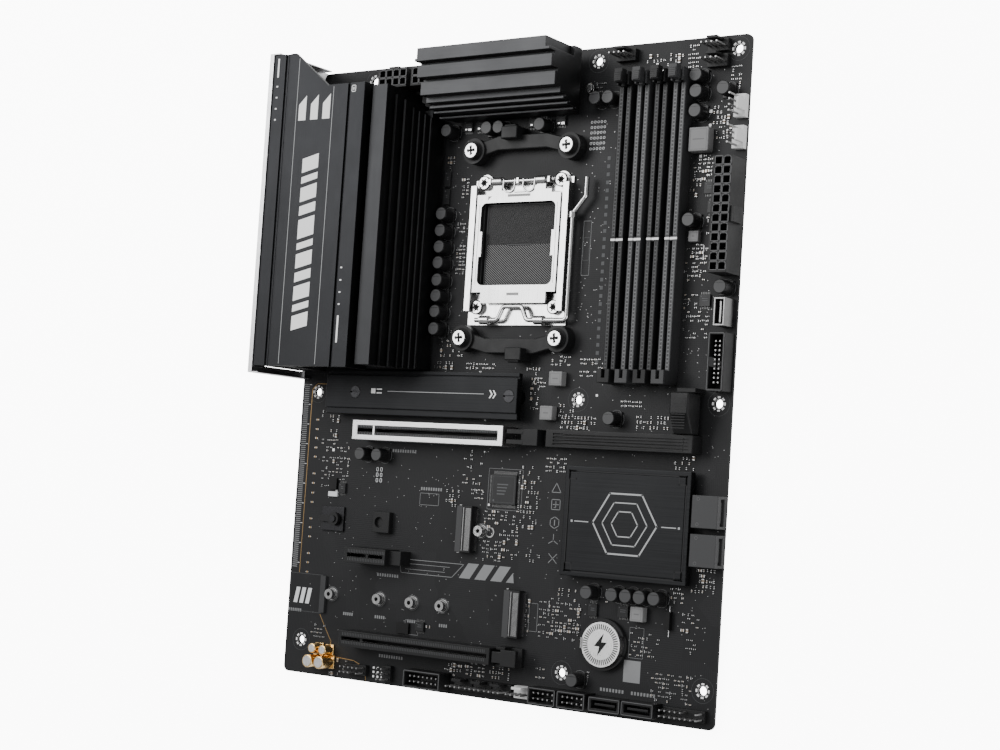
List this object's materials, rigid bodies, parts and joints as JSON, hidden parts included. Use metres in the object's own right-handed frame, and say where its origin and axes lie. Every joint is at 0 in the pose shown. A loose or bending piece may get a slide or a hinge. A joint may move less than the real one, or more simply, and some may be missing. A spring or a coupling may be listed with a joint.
{
  "type": "motherboard",
  "caption": "Black full-size computer mainboard with a rear port block, finned power heatsinks, a levered processor socket and latched memory and card slots.",
  "frame": {"origin": "centre of the lower rectangle of four stand-off holes, on the underside of the circuit board, where the stand-offs touch it", "axes": "+Z out of the component side; +X from the rear port edge to the front edge; +Y from the card-slot edge to the top edge with the processor"},
  "size_m": [0.2566, 0.306, 0.0444],
  "materials": {
    "board_laminate": "black solder mask with a slight sheen",
    "anodised_black": "black anodised aluminium, finely brushed",
    "cover_black": "satin black, brushed along the length",
    "bright_steel": "bright nickel-plated sheet steel",
    "tin": "tinned copper",
    "black_plastic": "moulded black nylon",
    "grey_plastic": "moulded dark grey nylon",
    "pale_grey_plastic": "moulded mid grey nylon",
    "white_plastic": "moulded white nylon",
    "contact_field": "dark field with fine contacts",
    "can_black": "dark satin cans",
    "gilt": "gold coloured cans",
    "cell_steel": "bright steel cell",
    "ferrite": "pressed ferrite, light grey",
    "chip_black": "moulded epoxy packages",
    "pad_grey": "soft thermal pad"
  },
  "bodies": {
    "board": {"pcb": "board_laminate", "socket_backplate": "bright_steel", "cpu_socket_housing": "black_plastic", "cpu_socket_contacts": "contact_field", "socket_frame": "bright_steel", "socket_screws": "bright_steel", "cooler_brackets": "black_plastic", "cooler_bracket_screws": "bright_steel", "usb_ports": "bright_steel", "network_port": "bright_steel", "audio_jacks": "black_plastic", "antenna_posts": "gilt", "video_ports": "bright_steel", "button_case": "black_plastic", "io_shield": "bright_steel", "io_cover": "cover_black", "vrm_heatsink_rear": "anodised_black", "vrm_heatsink_top": "anodised_black", "thermal_pads": "pad_grey", "dimm_slot_1": "black_plastic", "dimm_slot_2": "grey_plastic", "dimm_slot_3": "black_plastic", "dimm_slot_4": "grey_plastic", "pcie_slot_sleeve": "bright_steel", "pcie_slot_first": "black_plastic", "pcie_slot_short": "black_plastic", "pcie_slot_last": "black_plastic", "pcie_release_rail": "black_plastic", "m2_sockets": "black_plastic", "m2_standoffs": "bright_steel", "m2_latch_base": "bright_steel", "m2_support_block": "black_plastic", "m2_heatsink": "anodised_black", "m2_heatsink_screws": "can_black", "chipset_heatsink": "anodised_black", "power_sockets": "black_plastic", "pin_headers": "black_plastic", "light_headers": "white_plastic", "box_headers": "black_plastic", "usb_c_header": "bright_steel", "sata_edge_sockets": "pale_grey_plastic", "sata_upright_sockets": "black_plastic", "battery": "cell_steel", "battery_holder": "black_plastic", "polymer_capacitors": "can_black", "audio_capacitors": "gilt", "inductors": "ferrite", "chips": "chip_black", "solder_tails": "tin"},
    "load_plate": {"socket_load_plate": "bright_steel"},
    "lever": {"socket_lever": "bright_steel"},
    "memory_latch_1": {"dimm_latch_1": "black_plastic"},
    "memory_latch_2": {"dimm_latch_2": "grey_plastic"},
    "memory_latch_3": {"dimm_latch_3": "black_plastic"},
    "memory_latch_4": {"dimm_latch_4": "grey_plastic"},
    "card_latch_first": {"pcie_latch_first": "black_plastic"},
    "release_button": {"pcie_release_button": "black_plastic"},
    "card_latch_last": {"pcie_latch_last": "black_plastic"},
    "m2_latch": {"m2_latch": "black_plastic"},
    "rear_button": {"firmware_button": "black_plastic"}
  },
  "joints": [
    {"name": "load_plate_hinge", "type": "hinge", "parent": "board", "child": "load_plate", "pos_m": [0.00458, 0.16446, 0.0062], "axis": [-1, 0, 0], "range_deg": [0, 110]},
    {"name": "lever_hinge", "type": "hinge", "parent": "board", "child": "lever", "pos_m": [0.00458, 0.09846, 0.006], "axis": [1, 0, 0], "range_deg": [0, 105]},
    {"name": "memory_latch_1_hinge", "type": "hinge", "parent": "board", "child": "memory_latch_1", "pos_m": [0.06141, 0.20796, 0.0064], "axis": [-1, 0, 0], "range_deg": [0, 30]},
    {"name": "memory_latch_2_hinge", "type": "hinge", "parent": "board", "child": "memory_latch_2", "pos_m": [0.07072, 0.20796, 0.0064], "axis": [-1, 0, 0], "range_deg": [0, 30]},
    {"name": "memory_latch_3_hinge", "type": "hinge", "parent": "board", "child": "memory_latch_3", "pos_m": [0.08002, 0.20796, 0.0064], "axis": [-1, 0, 0], "range_deg": [0, 30]},
    {"name": "memory_latch_4_hinge", "type": "hinge", "parent": "board", "child": "memory_latch_4", "pos_m": [0.08932, 0.20796, 0.0064], "axis": [-1, 0, 0], "range_deg": [0, 30]},
    {"name": "release_button_slide", "type": "slide", "parent": "board", "child": "release_button", "axis": [0, 0, -1], "range_m": [0, 0.003], "stiffness_N_per_m": 300, "springref_m": -0.002},
    {"name": "card_latch_first_slide", "type": "slide", "parent": "board", "child": "card_latch_first", "axis": [1, 0, 0], "range_m": [0, 0.0025]},
    {"name": "card_latch_last_hinge", "type": "hinge", "parent": "board", "child": "card_latch_last", "pos_m": [0.01208, -0.05794, 0.0072], "axis": [0, 1, 0], "range_deg": [0, 25]},
    {"name": "m2_latch_hinge", "type": "hinge", "parent": "board", "child": "m2_latch", "pos_m": [-0.09582, -0.00074, 0.0041], "axis": [0, 0, 1], "range_deg": [0, 90]},
    {"name": "rear_button_slide", "type": "slide", "parent": "board", "child": "rear_button", "axis": [1, 0, 0], "range_m": [0, 0.001], "stiffness_N_per_m": 1200, "springref_m": -0.0008}
  ],
  "couplings": [
    {"joint": "card_latch_first_slide", "follows": "release_button_slide", "ratio": 0.83333}
  ]
}
